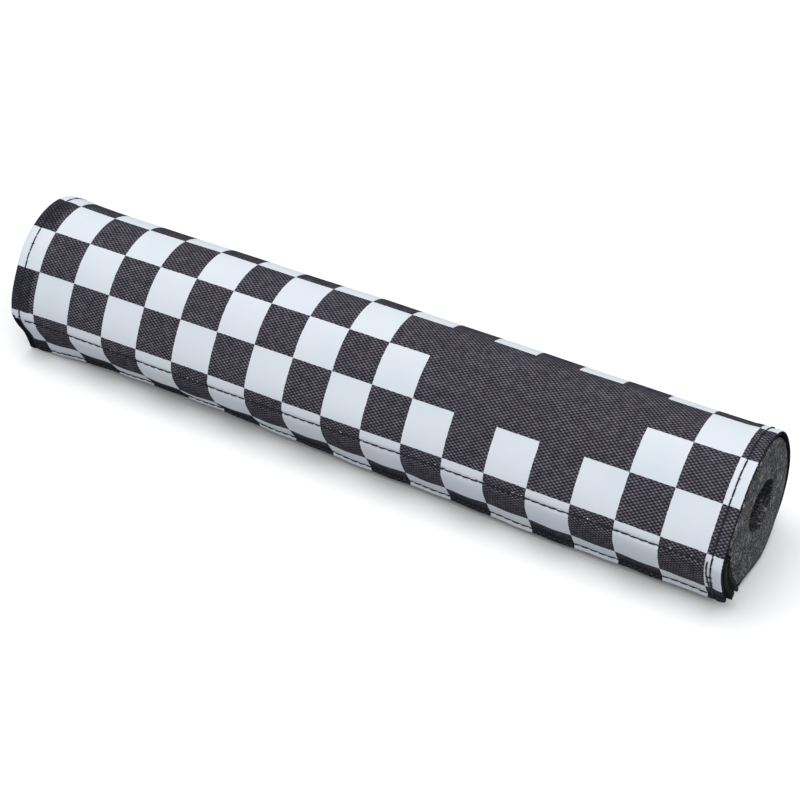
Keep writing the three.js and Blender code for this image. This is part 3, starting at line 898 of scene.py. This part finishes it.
def thread_material():
    """Near-black thread with the fine slant of its twist."""
    material, n, shader = new_material("dark_thread")
    place = n.add("ShaderNodeTexCoord").outputs["Object"]
    wave = n.add("ShaderNodeTexWave")
    n.join(place, wave.inputs["Vector"])
    wave.inputs["Scale"].default_value = 700
    wave.inputs["Distortion"].default_value = 2.0
    ply = wave.outputs["Fac"]
    colour = n.ramp(ply, THREAD_STOPS)
    n.join(colour, shader.inputs["Base Color"])
    shader.inputs["Roughness"].default_value = 0.65
    shader.inputs["Specular IOR Level"].default_value = 0.2
    n.join(n.bump(ply, 0.6, 0.1 * MM), shader.inputs["Normal"])
    return material


def floor_material():
    """Pale floor: pure white to the camera and in gloss, a little darker to bounced light."""
    material, n, shader = new_material("pale_floor")
    path = n.add("ShaderNodeLightPath")
    seen = n.math("MAXIMUM", path.outputs["Is Camera Ray"], path.outputs["Is Glossy Ray"])
    seen = n.math("MAXIMUM", seen, path.outputs["Is Transmission Ray"])
    n.join(n.mix(seen, FLOOR_BOUNCE, (1.0, 1.0, 1.0)), shader.inputs["Base Color"])
    shader.inputs["Roughness"].default_value = 0.9
    shader.inputs["Specular IOR Level"].default_value = 0.0
    return material


# Stage

def make_floor():
    """One wide face just under the pad."""
    corners = FLOOR_REACH * np.array([[-1, -1, 0], [1, -1, 0], [1, 1, 0], [-1, 1, 0]])
    floor = mesh_object("floor", corners - [0, 0, FLOOR_DROP], np.array([[0, 1, 2, 3]]))
    floor.data.materials.append(floor_material())


def area_light(name, place, target, size, power):
    """A round lamp at a place, turned to face its target."""
    light = bpy.data.lights.new(name, "AREA")
    light.shape = "DISK"
    light.size = size
    light.energy = power
    obj = bpy.data.objects.new(name, light)
    bpy.context.scene.collection.objects.link(obj)
    gaze = np.array(target) - np.array(place)
    flat = math.hypot(gaze[0], gaze[1])
    obj.location = place
    obj.rotation_euler = (math.atan2(flat, -gaze[2]), 0.0, math.atan2(gaze[1], gaze[0]) - math.pi / 2)


def make_lights():
    """A wide lamp overhead, a weaker one at the right, and a pale sky."""
    area_light("overhead", (-0.1, -0.25, 1.5), (0, 0, 0), 1.4, 13.0)
    area_light("right_fill", (1.1, -0.6, 0.7), (0, 0, 0.02), 0.9, 4.0)
    world = bpy.data.worlds.new("studio")
    bpy.context.scene.world = world
    world.use_nodes = True
    background = world.node_tree.nodes["Background"]
    background.inputs["Color"].default_value = (0.97, 0.985, 1.0, 1.0)
    background.inputs["Strength"].default_value = 0.62


def make_camera():
    """The camera at the place and turn fitted to the photo."""
    camera = bpy.data.cameras.new("camera")
    camera.lens = LENS
    camera.sensor_width = 36.0
    camera.clip_start = 0.01
    obj = bpy.data.objects.new("camera", camera)
    obj.location = CAMERA_PLACE
    turn = Matrix.Rotation(math.radians(CAMERA_AZIMUTH), 3, "Z")
    tilt = Matrix.Rotation(math.radians(90 - CAMERA_ELEVATION), 3, "X")
    roll = Matrix.Rotation(math.radians(CAMERA_ROLL), 3, "Z")
    obj.rotation_euler = (turn @ tilt @ roll).to_euler()
    bpy.context.scene.collection.objects.link(obj)
    bpy.context.scene.camera = obj


def dress(piece, material, node):
    """Gives a piece its material, its body and the node that it replaces."""
    piece.data.materials.append(material)
    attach(piece, "root")
    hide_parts(node)


make_camera()
cloth, foam, tape, thread = cover_material(), foam_material(), tape_material(), thread_material()
cover = make_cover()
foam_tube = make_foam()
hook_band, loop_band = make_hook_tape(), make_loop_tape()
left_hem, right_hem = hem_seam(-1), hem_seam(1)
lower = flap_seam("flap_thread_lower", lower_seam, 0.4)
upper = flap_seam("flap_thread_upper", upper_seam, 1.9)
inner_lower = inner_seam("loop_thread_lower", LOOP_LOWER_SEAM)
inner_upper = inner_seam("loop_thread_upper", LOOP_UPPER_SEAM)
dress(cover, cloth, "cover")
dress(foam_tube, foam, "foam_core")
dress(hook_band, tape, "hook_tape")
dress(loop_band, tape, "loop_tape")
dress(left_hem, thread, "hem_stitch_left")
dress(right_hem, thread, "hem_stitch_right")
dress(lower, thread, "hook_stitch_lower")
dress(upper, thread, "hook_stitch_upper")
dress(inner_lower, thread, "loop_stitch_lower")
dress(inner_upper, thread, "loop_stitch_upper")
make_floor()
make_lights()
bpy.context.scene.view_settings.view_transform = "Standard"
